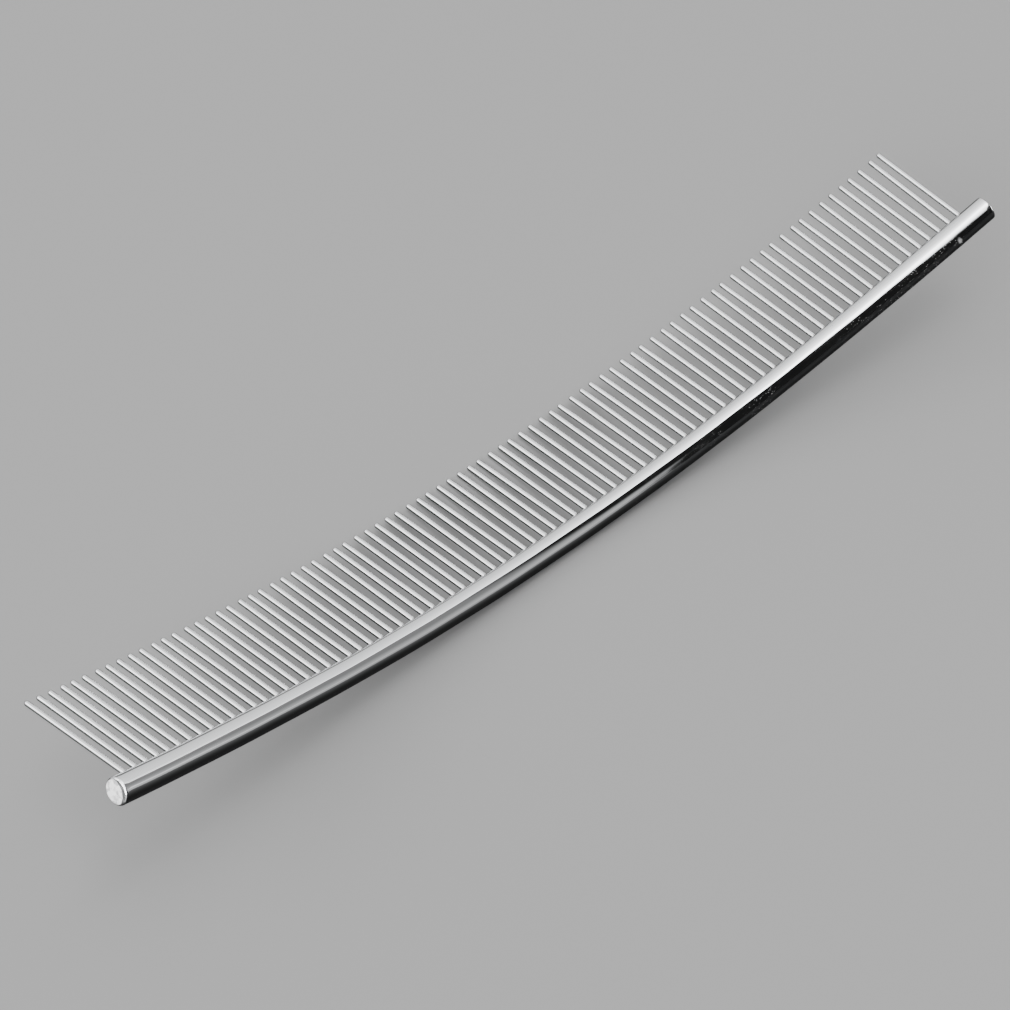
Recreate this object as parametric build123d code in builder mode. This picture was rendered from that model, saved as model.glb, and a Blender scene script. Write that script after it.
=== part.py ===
"""A steel grooming comb: a bent round spine with one row of long straight pins.

Millimetres. +X runs along the comb, +Y from the spine to the pins' tips and +Z up. The comb stands
the way it lies on a table, on the middle of the spine and the tip of the middle pin, with both ends
raised. The origin is on the table, under the middle of the comb's outline.
"""

import math
import os

from build123d import *

# Spine: a solid round rod, bent most over its middle and less towards both ends
spine_radius = 2.9
middle_bend_radius = 290.0
outer_bend_radius = 505.0
middle_half_length = 67.5
end_edge_radius = 0.5

# Pins: one row at an even pitch, all of one length, pressed into the spine's side
pin_count = 83
pins_per_node = 2
pin_pitch = 3.0
pin_radius = 0.575
pin_reach = 31.0  # from the spine's axis to the tip
pin_seat = 1.4  # from the spine's axis to the pin's inner end, on the far side
pin_sweep = 17.5  # degrees from the bend's normal to the pins, away from its centre
end_margin = 5.7  # from the outermost pin to the spine's end face, along the axis

# The pins don't stand quite parallel: each leans along the comb by the sum of three waves.
# A wave's size in degrees, and in degrees of phase its start and its step to the next pin
lean_waves = ((1.0, 10.0, 4.9), (0.3, 10.0, 134.5), (0.3, 250.0, 86.9))

shank_length = pin_seat + pin_reach - pin_radius

# How it lies: the middle pin's tip and the spine's middle both touch the table
spine_y = -11.13
pin_slope = math.degrees(math.asin((spine_radius - pin_radius) / (pin_reach - pin_radius)))
bend_lean = math.radians(pin_sweep - pin_slope)

# How far each arc of the spine's axis runs
row_half_length = (pin_count - 1) * pin_pitch / 2
outer_length = row_half_length + end_margin - middle_half_length
middle_half_angle = math.degrees(middle_half_length / middle_bend_radius)
outer_angle = math.degrees(outer_length / outer_bend_radius)

# The plane that the spine is bent in, with its Y towards the bend's centre
bend_plane = Plane(
    origin=(0, spine_y, spine_radius),
    x_dir=(1, 0, 0),
    z_dir=(0, -math.cos(bend_lean), -math.sin(bend_lean)),
)

# The spine's axis: a middle arc with a gentler arc tangent to each end of it
with BuildLine(bend_plane) as spine_axis:
    middle = CenterArc(
        (0, middle_bend_radius), middle_bend_radius, 270 - middle_half_angle, 2 * middle_half_angle
    )
    JernArc(middle @ 1, middle % 1, outer_bend_radius, outer_angle)
    JernArc(middle @ 0, -(middle % 0), outer_bend_radius, -outer_angle)
axis_wire = spine_axis.wire()


def pin_plane(index):
    """The plane of one pin's inner end, with its Z along the pin towards the tip."""
    distance = end_margin + index * pin_pitch
    lean = sum(size * math.sin(math.radians(start + step * index)) for size, start, step in lean_waves)
    square = Plane(
        origin=axis_wire.position_at(distance, position_mode=PositionMode.LENGTH),
        x_dir=axis_wire.tangent_at(distance, position_mode=PositionMode.LENGTH),
        z_dir=-bend_plane.z_dir,
    )
    return Plane(square.location * Rotation(-pin_sweep, lean, 0)).offset(-pin_seat)


pin_planes = [pin_plane(index) for index in range(pin_count)]

# Spine, with rounded edges round its end faces and a blind hole for each pin
with BuildPart() as spine:
    with BuildSketch(Plane(origin=axis_wire @ 0, z_dir=axis_wire % 0)):
        Circle(spine_radius)
    sweep(path=axis_wire)
    end_faces = spine.faces().filter_by(GeomType.PLANE)
    fillet(end_faces.edges(), end_edge_radius)
    with Locations(*pin_planes):
        Cylinder(
            pin_radius,
            shank_length,
            align=(Align.CENTER, Align.CENTER, Align.MIN),
            mode=Mode.SUBTRACT,
        )

os.makedirs("parts", exist_ok=True)
spine.part.label = "spine"
export_step(spine.part, "parts/spine.step")

# Pins, each a round wire with a ball-shaped tip, in neighbouring pairs from the left end
for first in range(0, pin_count, pins_per_node):
    planes = pin_planes[first : first + pins_per_node]
    with BuildPart() as pins:
        with Locations(*planes):
            Cylinder(pin_radius, shank_length, align=(Align.CENTER, Align.CENTER, Align.MIN))
        with Locations(*[plane.offset(shank_length) for plane in planes]):
            Sphere(pin_radius)
    pins.part.label = f"pins_{first // pins_per_node + 1:02d}"
    export_step(pins.part, f"parts/{pins.part.label}.step")
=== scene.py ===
import math

import bmesh
import bpy
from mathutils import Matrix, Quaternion, Vector


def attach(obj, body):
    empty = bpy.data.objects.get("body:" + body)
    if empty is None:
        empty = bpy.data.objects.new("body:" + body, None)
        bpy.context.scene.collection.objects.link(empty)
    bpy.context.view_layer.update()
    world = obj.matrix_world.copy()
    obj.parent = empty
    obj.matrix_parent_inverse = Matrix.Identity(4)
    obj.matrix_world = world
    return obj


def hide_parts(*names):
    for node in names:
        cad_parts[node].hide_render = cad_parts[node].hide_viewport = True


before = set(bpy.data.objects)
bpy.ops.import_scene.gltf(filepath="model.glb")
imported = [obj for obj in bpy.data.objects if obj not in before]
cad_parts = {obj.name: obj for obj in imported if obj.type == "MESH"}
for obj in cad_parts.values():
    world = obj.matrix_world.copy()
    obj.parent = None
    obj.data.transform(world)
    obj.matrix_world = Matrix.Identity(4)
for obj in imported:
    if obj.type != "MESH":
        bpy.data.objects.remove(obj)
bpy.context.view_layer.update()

# A steel grooming comb: a bent, chromed rod with one row of long straight pins. +X runs along the
# comb, +Y from the rod to the pins' tips and +Z up.

# Sizes of the comb, in metres: the same as the CAD model's
MM = 0.001
SPINE_RADIUS = 2.9 * MM
MIDDLE_BEND_RADIUS = 290.0 * MM
OUTER_BEND_RADIUS = 505.0 * MM
MIDDLE_HALF_LENGTH = 67.5 * MM
END_EDGE_RADIUS = 0.5 * MM
PIN_COUNT = 83
PINS_PER_PIECE = 2
PIN_PITCH = 3.0 * MM
PIN_RADIUS = 0.575 * MM
PIN_REACH = 31.0 * MM  # from the spine's axis to the tip
PIN_SEAT = 1.4 * MM  # from the spine's axis to the pin's inner end, on the far side
PIN_SWEEP = math.radians(17.5)
END_MARGIN = 5.7 * MM  # from the outermost pin to the spine's end
# Each wave of the pins' lean: its size, its start and its step from one pin to the next, in degrees
LEAN_WAVES = ((1.0, 10.0, 4.9), (0.3, 10.0, 134.5), (0.3, 250.0, 86.9))

ROW_HALF_LENGTH = (PIN_COUNT - 1) * PIN_PITCH / 2
HALF_LENGTH = ROW_HALF_LENGTH + END_MARGIN
PIN_SLOPE = math.asin((SPINE_RADIUS - PIN_RADIUS) / (PIN_REACH - PIN_RADIUS))
BEND_LEAN = PIN_SWEEP - PIN_SLOPE

# The spine's middle, and the directions along the comb, to the bend's centre and out of its plane
SPINE_MIDDLE = Vector((0.0, -11.13 * MM, SPINE_RADIUS))
ALONG = Vector((1.0, 0.0, 0.0))
INWARD = Vector((0.0, -math.sin(BEND_LEAN), math.cos(BEND_LEAN)))
BEND_NORMAL = Vector((0.0, math.cos(BEND_LEAN), math.sin(BEND_LEAN)))


def spine_station(distance):
    """Point on the spine's axis and the tangent there, at a signed distance from its middle."""
    side = math.copysign(1.0, distance)
    run = abs(distance)
    middle_angle = min(run, MIDDLE_HALF_LENGTH) / MIDDLE_BEND_RADIUS
    angle = middle_angle + max(run - MIDDLE_HALF_LENGTH, 0.0) / OUTER_BEND_RADIUS
    across = MIDDLE_BEND_RADIUS * math.sin(middle_angle)
    across += OUTER_BEND_RADIUS * (math.sin(angle) - math.sin(middle_angle))
    rise = MIDDLE_BEND_RADIUS * (1 - math.cos(middle_angle))
    rise += OUTER_BEND_RADIUS * (math.cos(middle_angle) - math.cos(angle))
    point = SPINE_MIDDLE + ALONG * side * across + INWARD * rise
    tangent = ALONG * math.cos(angle) + INWARD * side * math.sin(angle)
    return point, tangent


def pin_axis(index):
    """A pin's inner end and the direction from there to its tip."""
    root, tangent = spine_station(index * PIN_PITCH - ROW_HALF_LENGTH)
    inward = tangent.cross(BEND_NORMAL)
    straight = BEND_NORMAL * math.cos(PIN_SWEEP) - inward * math.sin(PIN_SWEEP)
    lean = 0.0
    for size, start, step in LEAN_WAVES:
        lean += math.radians(size * math.sin(math.radians(start + step * index)))
    direction = straight * math.cos(lean) + tangent * math.sin(lean)
    return root - direction * PIN_SEAT, direction


# ------------------------------------------------------------------------------------------ meshes

UV_NAME = "along_around"


def add_face(bm, corners):
    """Adds a smooth face. Each corner is a vertex, its length along the piece and its turn."""
    uv_layer = bm.loops.layers.uv[UV_NAME]
    face = bm.faces.new([vert for vert, _, _ in corners])
    face.smooth = True
    for loop, (_, length, turn) in zip(face.loops, corners):
        loop[uv_layer].uv = (length, turn)


def add_cap(bm, ring, length, turns, step):
    """Closes a ring with a fan round its middle. The step, 1 or -1, is the order of the corners."""
    count = len(ring)
    middle = bm.verts.new(sum((vert.co for vert in ring), Vector()) / count)
    for k in range(count):
        first = (ring[k], length, turns[k])
        second = (ring[(k + 1) % count], length, turns[k + 1])
        add_face(bm, [(middle, length, turns[k]), first, second][::step])


def add_rings(bm, rings, lengths):
    """Adds a closed surface through rings of points, capped by a fan at each end.

    Its UV holds the length along the piece in millimetres and the turn round it in radians.
    """
    loops = [[bm.verts.new(point) for point in ring] for ring in rings]
    count = len(loops[0])
    turns = [2 * math.pi * k / count for k in range(count + 1)]
    for k in range(count):
        after = (k + 1) % count
        for near in range(len(loops) - 1):
            low, high = loops[near], loops[near + 1]
            add_face(bm, [
                (low[k], lengths[near], turns[k]),
                (low[after], lengths[near], turns[k + 1]),
                (high[after], lengths[near + 1], turns[k + 1]),
                (high[k], lengths[near + 1], turns[k]),
            ])
    add_cap(bm, loops[0], lengths[0], turns, -1)
    add_cap(bm, loops[-1], lengths[-1], turns, 1)


def circle(centre, across, over, radius, count):
    """Points of a circle in the plane of two unit vectors.

    The radius is a number or a function of the turn.
    """
    points = []
    for k in range(count):
        turn = 2 * math.pi * k / count
        size = radius(turn) if callable(radius) else radius
        points.append(centre + (across * math.cos(turn) + over * math.sin(turn)) * size)
    return points


def new_bmesh():
    bm = bmesh.new()
    bm.loops.layers.uv.new(UV_NAME)
    return bm


def finish_piece(bm, name, materials, nodes):
    """Turns a bmesh into a piece that rides on the comb and stands for CAD nodes."""
    mesh = bpy.data.meshes.new(name)
    bmesh.ops.recalc_face_normals(bm, faces=bm.faces)
    bm.to_mesh(mesh)
    bm.free()
    piece = bpy.data.objects.new(name, mesh)
    bpy.context.scene.collection.objects.link(piece)
    for material in materials:
        mesh.materials.append(material)
    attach(piece, "root")
    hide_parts(*nodes)
    return piece


SPINE_SEGMENTS = 96
SPINE_STEP = 1.0 * MM
EDGE_STEPS = 10
FACE_STEPS = 8
FACE_DOME = 0.06 * MM  # how far the middle of an end face stands proud of its edge
# The rod is hand-polished, so it is very slightly out of round, and never outside its true radius.
# The most that its radius swings each way, as a share of it, and the lengths along the rod in which
# that comes and goes, and turns round it
OUT_OF_ROUND = 0.006
OUT_OF_ROUND_WAVE = 47.0 * MM
OUT_OF_ROUND_TWIST = 57.0 * MM


def spine_profile():
    """(distance along the axis, radius) of each ring of the spine, from its left end to its right."""
    flat = SPINE_RADIUS - END_EDGE_RADIUS
    end = []
    for step in range(1, FACE_STEPS + 1):
        share = step / FACE_STEPS
        end.append((FACE_DOME * share**2, flat * share))
    for step in range(1, EDGE_STEPS + 1):
        turn = math.pi / 2 * step / EDGE_STEPS
        depth = FACE_DOME + (END_EDGE_RADIUS - FACE_DOME) * (1 - math.cos(turn))
        end.append((depth, flat + END_EDGE_RADIUS * math.sin(turn)))
    straight = 2 * (HALF_LENGTH - END_EDGE_RADIUS)
    count = round(straight / SPINE_STEP)
    left = [(depth - HALF_LENGTH, radius) for depth, radius in end]
    middle = [(straight * (step / count - 0.5), SPINE_RADIUS) for step in range(1, count)]
    right = [(HALF_LENGTH - depth, radius) for depth, radius in reversed(end)]
    return left + middle + right


def spine_radius_at(distance, radius):
    """The spine's radius as a function of the turn, a little out of round."""
    wave = math.sin(2 * math.pi * distance / OUT_OF_ROUND_WAVE)
    size = OUT_OF_ROUND * radius / SPINE_RADIUS * wave
    twist = 2 * math.pi * distance / OUT_OF_ROUND_TWIST
    return lambda turn: radius * (1 - abs(size) + size * math.cos(2 * turn + twist))


def build_spine(materials):
    """The rod. Its second material is on the end faces and the rounded edges round them."""
    bm = new_bmesh()
    rings, lengths = [], []
    for distance, radius in spine_profile():
        point, tangent = spine_station(distance)
        inward = tangent.cross(BEND_NORMAL)
        size = spine_radius_at(distance, radius)
        rings.append(circle(point, BEND_NORMAL, inward, size, SPINE_SEGMENTS))
        lengths.append(distance / MM)
    add_rings(bm, rings, lengths)
    piece = finish_piece(bm, "spine_rod", materials, ["spine"])
    edge_start = (HALF_LENGTH - END_EDGE_RADIUS) / MM
    corners = piece.data.uv_layers[UV_NAME].data
    for face in piece.data.polygons:
        if min(abs(corners[k].uv[0]) for k in face.loop_indices) > edge_start:
            face.material_index = 1


PIN_SEGMENTS = 24
TIP_STEPS = 8
SHANK_STEPS = 8


def pin_profile():
    """(distance from the pin's inner end, radius) of each ring of a pin."""
    shank = PIN_SEAT + PIN_REACH - PIN_RADIUS
    stops = [(shank * step / SHANK_STEPS, PIN_RADIUS) for step in range(SHANK_STEPS + 1)]
    for step in range(1, TIP_STEPS):
        turn = math.pi / 2 * step / TIP_STEPS
        stops.append((shank + PIN_RADIUS * math.sin(turn), PIN_RADIUS * math.cos(turn)))
    return stops


def build_pins(first, node, material):
    """One piece: the neighbouring pins that a CAD node holds."""
    bm = new_bmesh()
    stops = pin_profile()
    for index in range(first, min(first + PINS_PER_PIECE, PIN_COUNT)):
        start, direction = pin_axis(index)
        across = direction.cross(ALONG).normalized()
        over = direction.cross(across)
        rings = []
        for length, radius in stops:
            rings.append(circle(start + direction * length, across, over, radius, PIN_SEGMENTS))
        add_rings(bm, rings, [length / MM for length, _ in stops])
    finish_piece(bm, node + "_wires", [material], [node])


# --------------------------------------------------------------------------------------- materials


class Graph:
    """Adds shader nodes to one tree.

    A value is a number, a colour, a vector or another node's output.
    """

    def __init__(self, tree):
        self.tree = tree

    def feed(self, socket, value):
        if isinstance(value, bpy.types.NodeSocket):
            self.tree.links.new(value, socket)
        else:
            socket.default_value = value

    def add(self, kind, inputs, output=0, **settings):
        node = self.tree.nodes.new(kind)
        for name, value in settings.items():
            setattr(node, name, value)
        for socket, value in inputs.items():
            self.feed(node.inputs[socket], value)
        return node.outputs[output]

    def math(self, operation, *values):
        return self.add("ShaderNodeMath", dict(enumerate(values)), operation=operation)

    def squares(self, a, b):
        """Sum of the squares of two values."""
        return self.math("ADD", self.math("POWER", a, 2.0), self.math("POWER", b, 2.0))

    def from_middle(self, value, middle, width):
        """How far a value is from a middle, in widths."""
        return self.math("DIVIDE", self.math("SUBTRACT", value, middle), width)

    def vector(self, x, y, z):
        return self.add("ShaderNodeCombineXYZ", {0: x, 1: y, 2: z})

    def scaled(self, vector, scale):
        inputs = {0: vector, "Scale": scale}
        return self.add("ShaderNodeVectorMath", inputs, operation="SCALE")

    def dot(self, vector, other):
        inputs = {0: vector, 1: other}
        return self.add("ShaderNodeVectorMath", inputs, output="Value", operation="DOT_PRODUCT")

    def ramp(self, value, low, high, at_low, at_high):
        """Smooth step of a value, from at_low to at_high."""
        inputs = {0: value, 1: low, 2: high, 3: at_low, 4: at_high}
        return self.add("ShaderNodeMapRange", inputs, interpolation_type="SMOOTHSTEP")

    def mix(self, share, a, b):
        return self.add("ShaderNodeMix", {"Factor": share, "A": a, "B": b}, output="Result")

    def mix_colour(self, share, a, b):
        a, b = [(*colour, 1) if isinstance(colour, tuple) else colour for colour in (a, b)]
        return self.add("ShaderNodeMix", {0: share, 6: a, 7: b}, output=2, data_type="RGBA")

    def noise(self, vector, scale, detail=3.0):
        inputs = {"Vector": vector, "Scale": scale, "Detail": detail}
        return self.add("ShaderNodeTexNoise", inputs)

    def bump(self, height, distance, normal=None):
        inputs = {"Height": height, "Distance": distance}
        if normal is not None:
            inputs["Normal"] = normal
        return self.add("ShaderNodeBump", inputs)


def new_material(name):
    """A material, its shader and a graph to add nodes with."""
    material = bpy.data.materials.new(name)
    material.use_nodes = True
    shader = material.node_tree.nodes["Principled BSDF"]
    return material, shader, Graph(material.node_tree)


LINE_STRETCH = 0.005  # squeezes the length, so that a noise becomes long lines


def surface_coordinates(graph, radius):
    """Coordinates on a piece: in space, along it, round it, and a vector for lengthwise lines.

    Lengths are in millimetres and the turn round the piece is in radians.
    """
    object_point = graph.add("ShaderNodeTexCoord", {}, output="Object")
    in_space = graph.scaled(object_point, 1 / MM)
    uv = graph.add("ShaderNodeUVMap", {}, uv_map=UV_NAME)
    split = graph.tree.nodes.new("ShaderNodeSeparateXYZ")
    graph.feed(split.inputs[0], uv)
    along, turn = split.outputs[0], split.outputs[1]
    across = graph.math("MULTIPLY", graph.math("COSINE", turn), radius / MM)
    over = graph.math("MULTIPLY", graph.math("SINE", turn), radius / MM)
    lengthwise = graph.vector(graph.math("MULTIPLY", along, LINE_STRETCH), across, over)
    return in_space, along, turn, lengthwise


CHROME = (0.80, 0.81, 0.82)
STEEL = (0.80, 0.81, 0.82)
# Painted shade where the pins meet the rod: the darker colour round each pin on the rod and on each
# pin's root
PAINTED_ROOT_SHADE = (0.30, 0.29, 0.28)
DUST = (0.62, 0.61, 0.60)
GROUND = (0.96, 0.96, 0.96)
GROUND_DARK = (0.42, 0.42, 0.43)

# In what follows a scale is a noise's, for coordinates in mm, and a depth is a bump's. A pair is
# either where a ramp starts and ends or the values that it has there

# Chrome: its cloudy gloss, its polish lines and its slow waves
CHROME_CLOUD_SCALE = 0.16
CHROME_CLOUD_NOISE = (0.35, 0.7)
CHROME_ROUGHNESS = (0.035, 0.085)
CHROME_LINE_SCALE = 6.0
CHROME_LINE_NOISE = (0.55, 0.8)
CHROME_LINE_ROUGHNESS = 0.05
CHROME_LINE_DEPTH = 0.0012 * MM
CHROME_WAVE_SCALE = 0.11
CHROME_WAVE_DEPTH = 0.04 * MM
# The dull ring round each pin, whose darker colour is painted shade, from its full strength at the
# inner radius to none, in mm
RING_RADII = (0.62, 0.95)
RING_STRENGTH = 0.8
RING_ROUGHNESS = 0.3
# Dust: specks in patches. The radii are in cells of the specks' noise, full strength to none
SPECK_SCALE = 1.9
SPECK_RADII = (0.08, 0.23)
SPECK_STRENGTH = 0.34
PATCH_SCALE = 0.12
PATCH_NOISE = (0.36, 0.56)
PATCH_SHARE = (0.2, 1.0)
# Along the spine, in mm, it gets dustier towards the right
DUSTIER_ALONG = (-20.0, 90.0)
DUSTIER_SHARE = (0.25, 1.0)
# How dust makes the chrome less metallic and rougher
DUST_FULL = 0.6
DUST_METALLIC = 0.15
DUST_ROUGHNESS = 0.6
# A smear on the spine: its place and width along it in mm, its turn and spread round it, and where
# its ragged edge starts to fade and ends, in widths squared
SMEAR_AT = 117.8
SMEAR_WIDTH = 0.8
SMEAR_TURN = math.radians(144)
SMEAR_SPREAD = math.radians(24)
SMEAR_RAGGED_SCALE = 1.6
SMEAR_FADE = (0.35, 1.5)
SMEAR_STRENGTH = 0.29


def pin_rings(graph, along, turn):
    """How strong the dull ring round the nearest pin is. Its darker colour is painted shade where the
    pin meets the rod.
    """
    row = graph.math("ADD", along, ROW_HALF_LENGTH / MM)
    cell = graph.math("PINGPONG", row, PIN_PITCH / MM / 2)
    off_row = graph.math("SUBTRACT", turn, 2 * math.pi - PIN_SWEEP)
    aside = graph.math("MULTIPLY", off_row, SPINE_RADIUS / MM)
    apart = graph.math("SQRT", graph.squares(cell, aside))
    row_end = (ROW_HALF_LENGTH + PIN_PITCH / 2) / MM
    in_row = graph.math("LESS_THAN", graph.math("ABSOLUTE", along), row_end)
    return graph.math("MULTIPLY", graph.ramp(apart, *RING_RADII, RING_STRENGTH, 0.0), in_row)


def dust_and_smear(graph, in_space, along, turn):
    """How much dust lies on the spine: fine specks in patches, and one smear near the right end."""
    voronoi = {"Vector": in_space, "Scale": SPECK_SCALE}
    specks = graph.add("ShaderNodeTexVoronoi", voronoi, output="Distance")
    patch_noise = graph.noise(in_space, PATCH_SCALE, detail=2.0)
    patches = graph.ramp(patch_noise, *PATCH_NOISE, *PATCH_SHARE)
    dustier = graph.ramp(along, *DUSTIER_ALONG, *DUSTIER_SHARE)
    patches = graph.math("MULTIPLY", patches, dustier)
    dust = graph.math("MULTIPLY", graph.ramp(specks, *SPECK_RADII, SPECK_STRENGTH, 0.0), patches)

    smear_along = graph.from_middle(along, SMEAR_AT, SMEAR_WIDTH)
    smear_round = graph.from_middle(turn, SMEAR_TURN, SMEAR_SPREAD)
    ragged = graph.noise(in_space, SMEAR_RAGGED_SCALE)
    from_smear = graph.math("ADD", graph.squares(smear_along, smear_round), ragged)
    smear = graph.ramp(from_smear, *SMEAR_FADE, SMEAR_STRENGTH, 0.0)
    return graph.math("MAXIMUM", dust, smear)


def chrome():
    """Mirror-polished chrome with fine polish lines, faint waves and cloudy gloss.

    It carries dust, a smear and a dull ring of painted shade round each pin.
    """
    material, shader, graph = new_material("mirror_chrome")
    in_space, along, turn, lengthwise = surface_coordinates(graph, SPINE_RADIUS)
    ring = pin_rings(graph, along, turn)
    dust = dust_and_smear(graph, in_space, along, turn)

    # Painted shade: the rod is darker in a ring round each pin's root
    colour = graph.mix_colour(ring, CHROME, PAINTED_ROOT_SHADE)
    graph.feed(shader.inputs["Base Color"], graph.mix_colour(dust, colour, DUST))
    graph.feed(shader.inputs["Metallic"], graph.ramp(dust, 0.0, DUST_FULL, 1.0, DUST_METALLIC))

    lines = graph.noise(lengthwise, CHROME_LINE_SCALE)
    clouds = graph.noise(in_space, CHROME_CLOUD_SCALE)
    roughness = graph.ramp(clouds, *CHROME_CLOUD_NOISE, *CHROME_ROUGHNESS)
    from_lines = graph.ramp(lines, *CHROME_LINE_NOISE, 0.0, CHROME_LINE_ROUGHNESS)
    roughness = graph.math("ADD", roughness, from_lines)
    roughness = graph.math("ADD", roughness, graph.math("MULTIPLY", ring, RING_ROUGHNESS))
    roughness = graph.math("ADD", roughness, graph.math("MULTIPLY", dust, DUST_ROUGHNESS))
    graph.feed(shader.inputs["Roughness"], roughness)

    slow = graph.noise(in_space, CHROME_WAVE_SCALE, detail=1.0)
    waves = graph.bump(slow, CHROME_WAVE_DEPTH)
    graph.feed(shader.inputs["Normal"], graph.bump(lines, CHROME_LINE_DEPTH, waves))
    return material


# The ground patch of an end face, in mm: its radius, the width of its border, how far and which way
# its middle is off the face's, and how ragged its border is. It laps onto the rounded edge
GROUND_RADIUS = 2.85
GROUND_BORDER = 0.3
GROUND_OFFSET = 1.2
GROUND_TURN = math.radians(308)
GROUND_RAGGED = 0.8
# The patch's marbling, lumps and grain, and the border's polish
MARBLING_SCALE = 0.9
MARBLING_NOISE = (0.32, 0.55)
LUMP_SCALE = 0.6
LUMP_DEPTH = 0.2 * MM
GRAIN_SCALE = 5.0
GRAIN_NOISE = (0.3, 0.7)
GRAIN_DEPTH = 0.02 * MM
GROUND_ROUGHNESS = (0.4, 0.6)
GROUND_METALLIC = 0.2
BORDER_ROUGHNESS = 0.08


def from_ground_middle(graph, along, turn):
    """Distance from the middle of the ground patch, in mm.

    The dome's fall gives the radius on the face. It is more than the true radius on the edge.
    """
    fall = graph.math("SUBTRACT", HALF_LENGTH / MM, graph.math("ABSOLUTE", along))
    share = graph.math("MAXIMUM", graph.math("DIVIDE", fall, FACE_DOME / MM), 0.0)
    face_radius = (SPINE_RADIUS - END_EDGE_RADIUS) / MM
    radius = graph.math("MULTIPLY", graph.math("SQRT", share), face_radius)
    towards = graph.math("COSINE", graph.math("SUBTRACT", turn, GROUND_TURN))
    aside = graph.math("MULTIPLY", radius, towards)
    square = graph.math("MULTIPLY_ADD", aside, -2 * GROUND_OFFSET, GROUND_OFFSET**2)
    return graph.math("SQRT", graph.math("MULTIPLY_ADD", radius, radius, square))


def ground_end():
    """The spine's end faces: a matt, bright ground patch, off centre, inside a polished border."""
    material, shader, graph = new_material("ground_chrome")
    in_space, along, turn, _ = surface_coordinates(graph, SPINE_RADIUS)

    lumps = graph.noise(in_space, LUMP_SCALE)
    ragged = graph.math("SUBTRACT", lumps, 0.5)
    distance = from_ground_middle(graph, along, turn)
    distance = graph.math("MULTIPLY_ADD", ragged, GROUND_RAGGED, distance)
    inner, outer = GROUND_RADIUS - GROUND_BORDER / 2, GROUND_RADIUS + GROUND_BORDER / 2
    ground = graph.ramp(distance, inner, outer, 1.0, 0.0)

    marbling = graph.noise(in_space, MARBLING_SCALE)
    marbling = graph.ramp(marbling, *MARBLING_NOISE, 0.0, 1.0)
    ground_colour = graph.mix_colour(marbling, GROUND_DARK, GROUND)
    graph.feed(shader.inputs["Base Color"], graph.mix_colour(ground, CHROME, ground_colour))
    graph.feed(shader.inputs["Metallic"], graph.mix(ground, 1.0, GROUND_METALLIC))

    grain = graph.noise(in_space, GRAIN_SCALE, detail=4.0)
    matt = graph.ramp(grain, *GRAIN_NOISE, *GROUND_ROUGHNESS)
    graph.feed(shader.inputs["Roughness"], graph.mix(ground, BORDER_ROUGHNESS, matt))
    shape = graph.bump(lumps, LUMP_DEPTH)
    ground_grain = graph.math("MULTIPLY", grain, ground)
    graph.feed(shader.inputs["Normal"], graph.bump(ground_grain, GRAIN_DEPTH, shape))
    return material


# Steel: its cloudy gloss, its drawn lines, and the dull root darkened by painted shade, whose length
# out of the spine is in mm
STEEL_CLOUD_SCALE = 0.25
STEEL_CLOUD_NOISE = (0.3, 0.7)
STEEL_ROUGHNESS = (0.06, 0.12)
STEEL_LINE_SCALE = 9.0
STEEL_LINE_NOISE = (0.5, 0.8)
STEEL_LINE_ROUGHNESS = 0.06
STEEL_LINE_DEPTH = 0.0007 * MM
ROOT_LENGTH = 1.0
ROOT_STRENGTH = 0.7
ROOT_ROUGHNESS = 0.25


def steel():
    """Polished wire: fine drawn lines along each pin, cloudy gloss and a dull root darkened by painted
    shade.
    """
    material, shader, graph = new_material("polished_steel")
    shader.inputs["Metallic"].default_value = 1.0
    in_space, along, _, lengthwise = surface_coordinates(graph, PIN_RADIUS)
    lines = graph.noise(lengthwise, STEEL_LINE_SCALE)
    clouds = graph.noise(in_space, STEEL_CLOUD_SCALE)
    surface = (PIN_SEAT + SPINE_RADIUS) / MM
    root = graph.ramp(along, surface, surface + ROOT_LENGTH, ROOT_STRENGTH, 0.0)
    # Painted shade: each pin is darker where it leaves the rod
    graph.feed(shader.inputs["Base Color"], graph.mix_colour(root, STEEL, PAINTED_ROOT_SHADE))
    roughness = graph.ramp(clouds, *STEEL_CLOUD_NOISE, *STEEL_ROUGHNESS)
    from_lines = graph.ramp(lines, *STEEL_LINE_NOISE, 0.0, STEEL_LINE_ROUGHNESS)
    roughness = graph.math("ADD", roughness, from_lines)
    roughness = graph.math("ADD", roughness, graph.math("MULTIPLY", root, ROOT_ROUGHNESS))
    graph.feed(shader.inputs["Roughness"], roughness)
    graph.feed(shader.inputs["Normal"], graph.bump(lines, STEEL_LINE_DEPTH))
    return material


# The floor as the camera and diffuse light see it, and as the metal reflects it
FLOOR_COLOUR = (0.24, 0.24, 0.24)
FLOOR_IN_METAL = (0.003, 0.003, 0.003)
FLOOR_ROUGHNESS = 0.9
FLOOR_ROUGHNESS_IN_METAL = 0.4
FLOOR_SHEEN_IN_METAL = 0.15


def pale_floor():
    """A matt, pale floor that is near black and a little glossy in the metal's reflections."""
    material, shader, graph = new_material("pale_floor")
    in_metal = graph.add("ShaderNodeLightPath", {}, output="Is Glossy Ray")
    colour = graph.mix_colour(in_metal, FLOOR_COLOUR, FLOOR_IN_METAL)
    roughness = graph.mix(in_metal, FLOOR_ROUGHNESS, FLOOR_ROUGHNESS_IN_METAL)
    graph.feed(shader.inputs["Base Color"], colour)
    graph.feed(shader.inputs["Roughness"], roughness)
    graph.feed(shader.inputs["Specular IOR Level"], graph.mix(in_metal, 0.0, FLOOR_SHEEN_IN_METAL))
    return material


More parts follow.
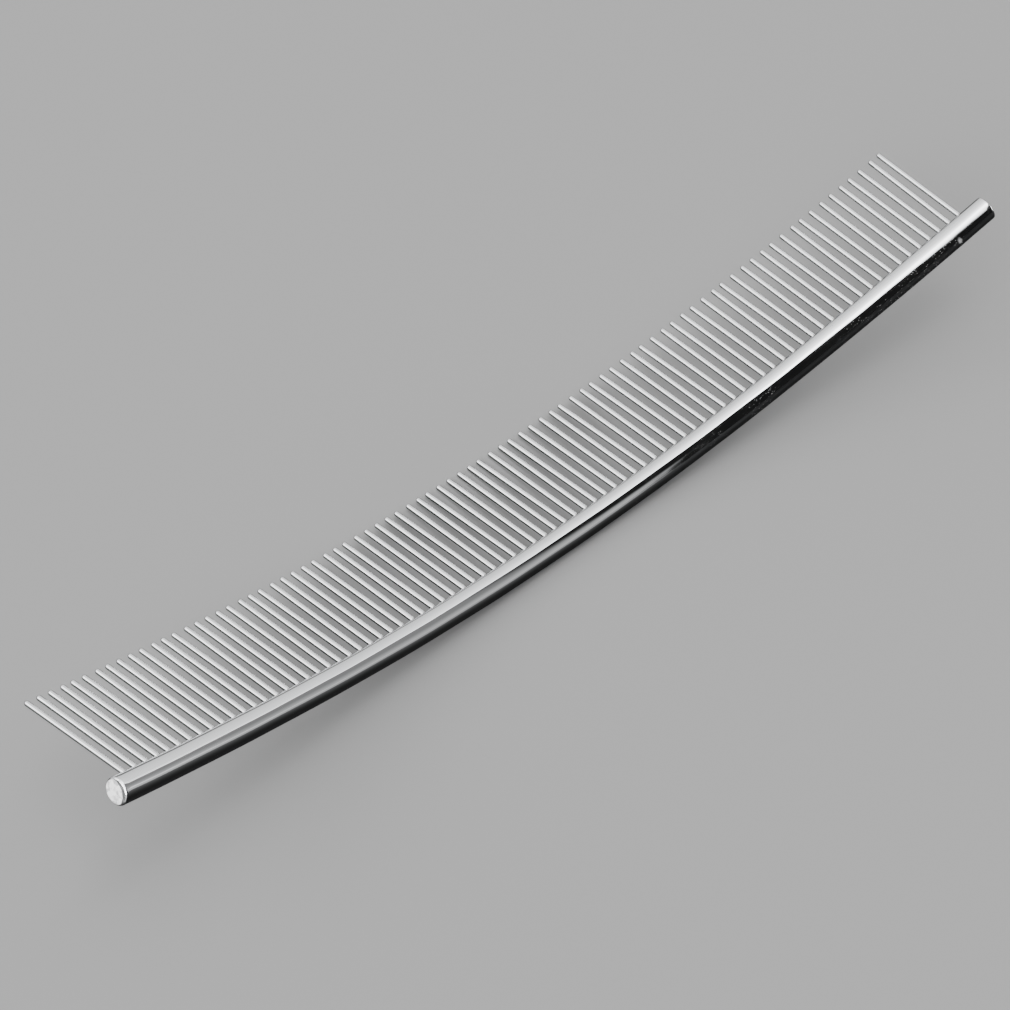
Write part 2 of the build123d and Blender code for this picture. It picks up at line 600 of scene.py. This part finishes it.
build_spine([chrome(), ground_end()])
pin_steel = steel()
for number, first in enumerate(range(0, PIN_COUNT, PINS_PER_PIECE), start=1):
    build_pins(first, f"pins_{number:02d}", pin_steel)

# ---------------------------------------------------------------------- floor, light and camera

FLOOR_SIZE = 8.0
bpy.ops.mesh.primitive_plane_add(size=FLOOR_SIZE)
floor = bpy.context.object
floor.name = "floor"
floor.data.materials.append(pale_floor())


def heading(azimuth, elevation):
    """Unit vector of a direction, in degrees: azimuth from +Y towards +X, elevation above the floor."""
    a, e = math.radians(azimuth), math.radians(elevation)
    return Vector((math.sin(a) * math.cos(e), math.cos(a) * math.cos(e), math.sin(e)))


def cosine(degrees):
    return math.cos(math.radians(degrees))


# A round region of the tent is its middle, the angle within which it has its full value and the
# angle where it ends, in degrees. The camera is at azimuth 226
OPENING = heading(134, 42)
OPENING_EDGE = (28.5, 31.5)
# Each shade multiplies the tent's light by its value at the middle
SHADES = (
    (OPENING, 30, 38, 1.8),
    (heading(150, 20), 12, 34, 0.37),
    (heading(-15, 58), 5, 24, 0.75),
)
# Each glow adds its value to the tent's light: three broad ones and two small lamps
GLOWS = (
    (heading(150, 80), 4, 16, 3.0),
    (heading(-46, 32), 4, 20, 4.5),
    (heading(-105, 15), 12, 42, 8.0),
    (heading(104, 10), 2, 4, 40.0),
    (heading(107, 1), 2, 4, 40.0),
)
# The tent without them: its light at the horizon, how much is added at the zenith evenly with
# height, and how much by a power of the height
TENT_LIGHT = 1.0
TENT_RISE = 0.6
OVERHEAD_LIGHT = 2.0
OVERHEAD_POWER = 6.0
# The panel in the dark room: the directions square to its top edge and its side edge, and the one
# in which it gets lighter, each with the cosines between which its ramp runs
PANEL_TOP = (Vector((0.815, -0.113, -0.568)), -0.03, 0.16)
PANEL_SIDE = (heading(65, 0), -0.06, 0.06)
PANEL_LIGHTER = (Vector((0.0, -0.75, -0.66)), -0.1, 0.45)
PANEL_LIGHT = (0.27, 0.62)
ROOM_LIGHT = 0.014
# The doorway: past one azimuth and short of another, each square to one of these directions and
# with the cosine at which its edge ends, and below a height
DOORWAY_START = (heading(243, 0), 0.0, 0.05)
DOORWAY_END = (heading(145, 0), 0.0, 0.1)
DOORWAY_TOP = (0.66, 0.74)
DOORWAY_LIGHT = 0.013
BACKDROP_LIGHT = 0.565  # as bright as the far floor, so that no horizon shows


def round_region(graph, direction, centre, inner, outer, at_centre, outside):
    """A value round a direction: one value within an angle, another beyond a larger angle."""
    facing = graph.dot(direction, centre)
    return graph.ramp(facing, cosine(outer), cosine(inner), outside, at_centre)


def beyond(graph, direction, side, low, high):
    """0 before an edge and 1 past it. The edge is square to a direction, its side."""
    return graph.ramp(graph.dot(direction, side), low, high, 0.0, 1.0)


def tent_light(graph, direction, height):
    """The tent's own light: brighter overhead, with its shades and glows."""
    overhead = graph.math("POWER", height, OVERHEAD_POWER)
    overhead = graph.math("MULTIPLY", overhead, OVERHEAD_LIGHT)
    light = graph.math("MULTIPLY_ADD", height, TENT_RISE, TENT_LIGHT)
    light = graph.math("ADD", light, overhead)
    for centre, inner, outer, factor in SHADES:
        shade = round_region(graph, direction, centre, inner, outer, factor, 1.0)
        light = graph.math("MULTIPLY", light, shade)
    for centre, inner, outer, strength in GLOWS:
        glow = round_region(graph, direction, centre, inner, outer, strength, 0.0)
        light = graph.math("ADD", light, glow)
    return light


def room_light(graph, direction):
    """The dark room behind the opening, with a grey panel on its left that is lighter lower down."""
    below_top = beyond(graph, direction, *PANEL_TOP)
    in_side = beyond(graph, direction, *PANEL_SIDE)
    panel = graph.math("MULTIPLY", below_top, in_side)
    lighter, low, high = PANEL_LIGHTER
    panel_light = graph.ramp(graph.dot(direction, lighter), low, high, *PANEL_LIGHT)
    return graph.mix(panel, ROOM_LIGHT, panel_light)


def doorway_share(graph, direction, height):
    """1 where the opening goes down to the floor, from there round to behind the camera."""
    low = graph.ramp(height, *DOORWAY_TOP, 1.0, 0.0)
    past_start = beyond(graph, direction, *DOORWAY_START)
    short_of_end = beyond(graph, direction, *DOORWAY_END)
    return graph.math("MULTIPLY", low, graph.math("MULTIPLY", past_start, short_of_end))


def light_tent():
    """A white studio tent with an opening on the camera's right into a dark room."""
    world = bpy.data.worlds.new("light_tent")
    world.use_nodes = True
    bpy.context.scene.world = world
    graph = Graph(world.node_tree)
    direction = graph.add("ShaderNodeTexCoord", {}, output="Generated")
    height = graph.math("MAXIMUM", graph.dot(direction, (0, 0, 1)), 0.0)

    light = tent_light(graph, direction, height)
    in_opening = round_region(graph, direction, OPENING, *OPENING_EDGE, 1.0, 0.0)
    light = graph.mix(in_opening, light, room_light(graph, direction))
    light = graph.mix(doorway_share(graph, direction, height), light, DOORWAY_LIGHT)

    # The camera sees a plain pale backdrop
    camera_ray = graph.add("ShaderNodeLightPath", {}, output="Is Camera Ray")
    background = world.node_tree.nodes["Background"]
    background.inputs["Color"].default_value = (1, 1, 1, 1)
    graph.feed(background.inputs["Strength"], graph.mix(camera_ray, light, BACKDROP_LIGHT))


light_tent()

# The camera's lens in mm, its place and the point that it looks at in metres, and its roll
LENS = 111.5
CAMERA_AT = Vector((-0.33136, -0.31810, 0.49818))
AIM = Vector((-0.00160, 0.00635, 0.0))
ROLL = math.radians(3.02)
camera_data = bpy.data.cameras.new("camera")
camera_data.lens = LENS
camera = bpy.data.objects.new("camera", camera_data)
bpy.context.scene.collection.objects.link(camera)
camera.location = CAMERA_AT
camera.rotation_mode = "QUATERNION"
looking = (AIM - CAMERA_AT).to_track_quat("-Z", "Y")
camera.rotation_quaternion = looking @ Quaternion((0, 0, 1), ROLL)
bpy.context.scene.camera = camera
